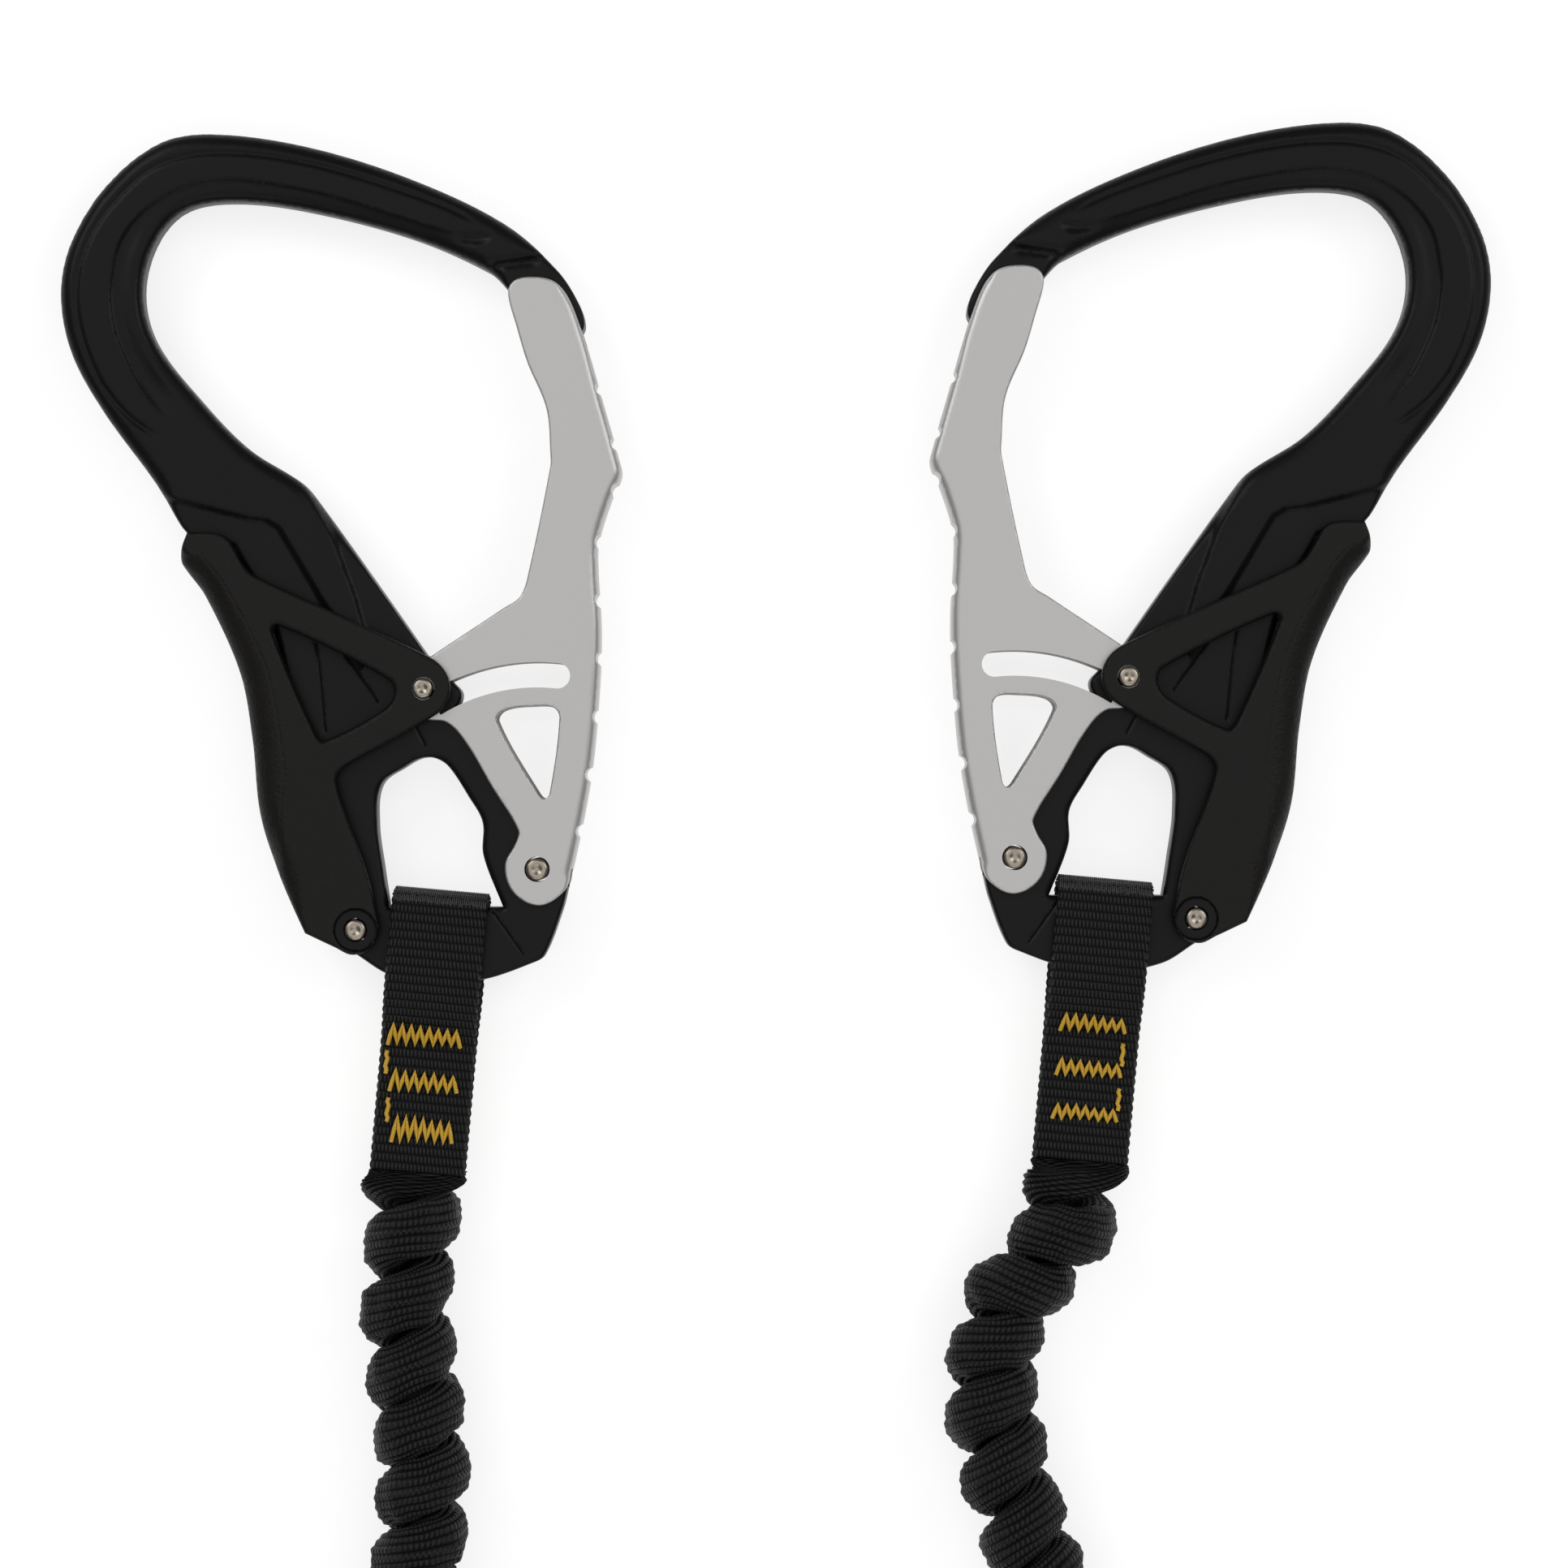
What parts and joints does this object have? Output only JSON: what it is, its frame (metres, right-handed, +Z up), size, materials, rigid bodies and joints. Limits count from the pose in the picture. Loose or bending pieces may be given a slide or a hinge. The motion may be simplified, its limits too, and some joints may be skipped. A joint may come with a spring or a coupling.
{
  "type": "via ferrata lanyard",
  "caption": "Via ferrata lanyard with palm-squeeze carabiners on gathered elastic arms, joined at a tear-webbing energy absorber with a harness loop.",
  "frame": {"origin": "on the table under the middle of everything but the elastic arms", "axes": "+Z up off the table, +Y from the absorber towards the carabiners' hooks, +X to the right seen from above with the hooks at the top"},
  "size_m": [0.293, 0.5969, 0.026],
  "materials": {
    "frame_alloy": "black anodised, satin",
    "gate_sheet": "bead blasted",
    "lever_plastic": "black, finely textured",
    "rivet_steel": "satin",
    "spring_wire": "drawn wire",
    "webbing": "ribbed tape, black",
    "elastic": "gathered elastic tape, black",
    "pouch_cloth": "plain weave, black",
    "tear_strip": "yellow woven tape"
  },
  "bodies": {
    "lanyard": {"left_frame": "frame_alloy", "left_gate_rivet": "rivet_steel", "left_lever_rivet": "rivet_steel", "left_gate_spring": "spring_wire", "left_lever_spring": "spring_wire", "left_webbing_loop": "webbing", "left_elastic_arm": "elastic", "right_frame": "frame_alloy", "right_gate_rivet": "rivet_steel", "right_lever_rivet": "rivet_steel", "right_gate_spring": "spring_wire", "right_lever_spring": "spring_wire", "right_webbing_loop": "webbing", "right_elastic_arm": "elastic", "absorber_pouch": "pouch_cloth", "tear_webbing": "tear_strip", "harness_loop": "webbing"},
    "left_gate": {"left_gate": "gate_sheet"},
    "left_lever": {"left_palm_lever": "lever_plastic", "left_latch_rivet_top": "rivet_steel", "left_latch_rivet_bottom": "rivet_steel", "left_latch_pin": "rivet_steel", "left_lever_washer_top": "rivet_steel", "left_lever_washer_bottom": "rivet_steel"},
    "right_gate": {"right_gate": "gate_sheet"},
    "right_lever": {"right_palm_lever": "lever_plastic", "right_latch_rivet_top": "rivet_steel", "right_latch_rivet_bottom": "rivet_steel", "right_latch_pin": "rivet_steel", "right_lever_washer_top": "rivet_steel", "right_lever_washer_bottom": "rivet_steel"}
  },
  "joints": [
    {"name": "left_gate_swing", "type": "hinge", "parent": "lanyard", "child": "left_gate", "pos_m": [-0.04875, 0.1074, 0.0089], "axis": [0, 0, 1], "range_deg": [0, 32], "stiffness_Nm_per_rad": 0.08, "springref_deg": -34.38},
    {"name": "left_lever_squeeze", "type": "hinge", "parent": "lanyard", "child": "left_lever", "pos_m": [-0.08562, 0.09505, 0.0089], "axis": [0, 0, -1], "range_deg": [0, 4.5], "stiffness_Nm_per_rad": 0.3, "springref_deg": -17.19},
    {"name": "right_gate_swing", "type": "hinge", "parent": "lanyard", "child": "right_gate", "pos_m": [0.04875, 0.1098, 0.0089], "axis": [0, 0, -1], "range_deg": [0, 32], "stiffness_Nm_per_rad": 0.08, "springref_deg": -34.38},
    {"name": "right_lever_squeeze", "type": "hinge", "parent": "lanyard", "child": "right_lever", "pos_m": [0.08562, 0.09745, 0.0089], "axis": [0, 0, 1], "range_deg": [0, 4.5], "stiffness_Nm_per_rad": 0.3, "springref_deg": -17.19}
  ]
}
